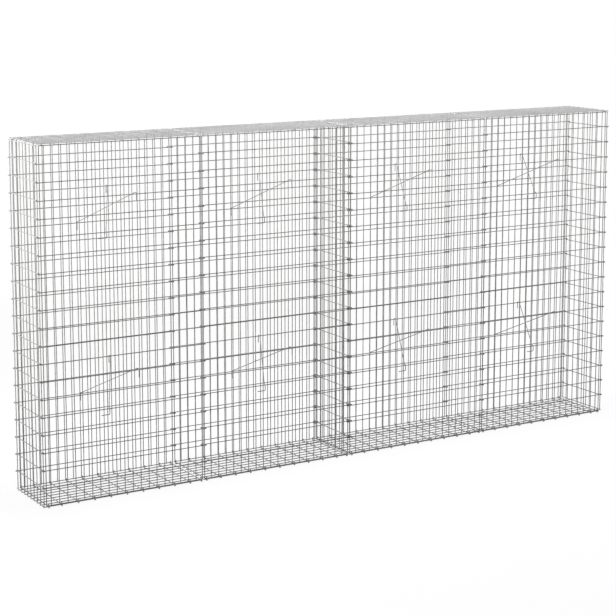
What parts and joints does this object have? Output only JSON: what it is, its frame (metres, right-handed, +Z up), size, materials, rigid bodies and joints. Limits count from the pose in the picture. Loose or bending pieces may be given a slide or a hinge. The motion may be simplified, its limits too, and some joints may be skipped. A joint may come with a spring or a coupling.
{
  "type": "gabion wall basket",
  "caption": "Empty gabion wall: a long basket of welded wire mesh in bays, with hinged mesh lids, a middle diaphragm and crossed tie wires.",
  "frame": {"origin": "middle of the basket's footprint, on the ground", "axes": "+X along the wall to the right, +Y from the front face to the back, +Z up"},
  "size_m": [4, 0.418, 2.03],
  "materials": {
    "panel_wire": "hot-dip galvanised round wire, dull light grey, faint spangle",
    "floor_wire": "hot-dip galvanised round wire, dull light grey, a little darker",
    "lid_wire": "hot-dip galvanised round wire, dull light grey",
    "tie_wire": "galvanised tie wire, dull mid grey"
  },
  "bodies": {
    "basket": {"front_panel_1": "panel_wire", "front_panel_2": "panel_wire", "front_panel_3": "panel_wire", "front_panel_4": "panel_wire", "back_panel_1": "panel_wire", "back_panel_2": "panel_wire", "back_panel_3": "panel_wire", "back_panel_4": "panel_wire", "left_end_panel": "panel_wire", "right_end_panel": "panel_wire", "middle_diaphragm": "panel_wire", "floor_panel_1": "floor_wire", "floor_panel_2": "floor_wire", "floor_panel_3": "floor_wire", "floor_panel_4": "floor_wire", "low_tie_rising_1": "tie_wire", "low_tie_rising_2": "tie_wire", "low_tie_rising_3": "tie_wire", "low_tie_rising_4": "tie_wire", "low_tie_falling_1": "tie_wire", "low_tie_falling_2": "tie_wire", "low_tie_falling_3": "tie_wire", "low_tie_falling_4": "tie_wire", "high_tie_rising_1": "tie_wire", "high_tie_rising_2": "tie_wire", "high_tie_rising_3": "tie_wire", "high_tie_rising_4": "tie_wire", "high_tie_falling_1": "tie_wire", "high_tie_falling_2": "tie_wire", "high_tie_falling_3": "tie_wire", "high_tie_falling_4": "tie_wire"},
    "lid_body_1": {"lid_1": "lid_wire"},
    "lid_body_2": {"lid_2": "lid_wire"},
    "lid_body_3": {"lid_3": "lid_wire"},
    "lid_body_4": {"lid_4": "lid_wire"}
  },
  "joints": [
    {"name": "lid_hinge_1", "type": "hinge", "parent": "basket", "child": "lid_body_1", "pos_m": [-1.5, 0.1975, 2.015], "axis": [-1, 0, 0], "range_deg": [0, 205]},
    {"name": "lid_hinge_2", "type": "hinge", "parent": "basket", "child": "lid_body_2", "pos_m": [-0.5, 0.1975, 2.015], "axis": [-1, 0, 0], "range_deg": [0, 205]},
    {"name": "lid_hinge_3", "type": "hinge", "parent": "basket", "child": "lid_body_3", "pos_m": [0.5, 0.1975, 2.015], "axis": [-1, 0, 0], "range_deg": [0, 205]},
    {"name": "lid_hinge_4", "type": "hinge", "parent": "basket", "child": "lid_body_4", "pos_m": [1.5, 0.1975, 2.015], "axis": [-1, 0, 0], "range_deg": [0, 205]}
  ]
}
